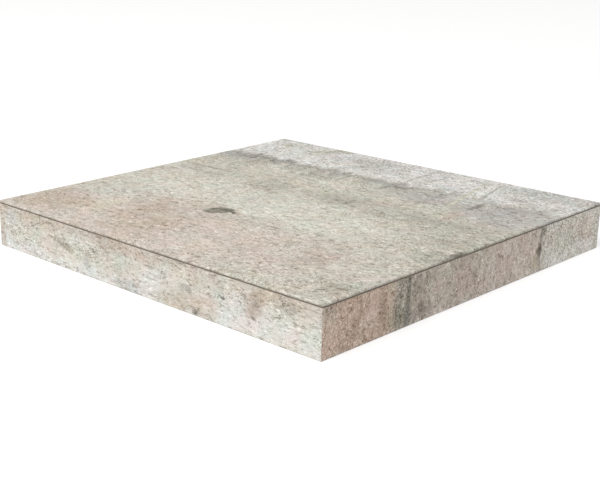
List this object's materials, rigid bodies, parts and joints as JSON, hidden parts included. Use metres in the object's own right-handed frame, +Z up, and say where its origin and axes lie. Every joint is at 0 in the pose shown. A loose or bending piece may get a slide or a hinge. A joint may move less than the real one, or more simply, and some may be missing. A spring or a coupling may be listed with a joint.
{
  "type": "stair tread tile",
  "caption": "Corner stair tread tile: a flat stone-look tile with a straight drop edge bonded along its front and one side, hollow underneath.",
  "frame": {"origin": "floor level under the middle of the tread, where the feet of the two drop edges stand", "axes": "+Z up out of the tread face, -Y out of the front drop edge, +X out of the side drop edge"},
  "size_m": [0.36, 0.36, 0.04],
  "materials": {
    "tread_tile": "matt printed porcelain stoneware, stone look",
    "front_strip": "matt printed porcelain stoneware, stone look",
    "side_strip": "matt printed porcelain stoneware, stone look",
    "joint_adhesive": "cured epoxy adhesive, raked back, dark grey-brown"
  },
  "bodies": {
    "root": {"tread_tile": "tread_tile", "front_strip": "front_strip", "side_strip": "side_strip", "joint_adhesive": "joint_adhesive"}
  },
  "joints": []
}
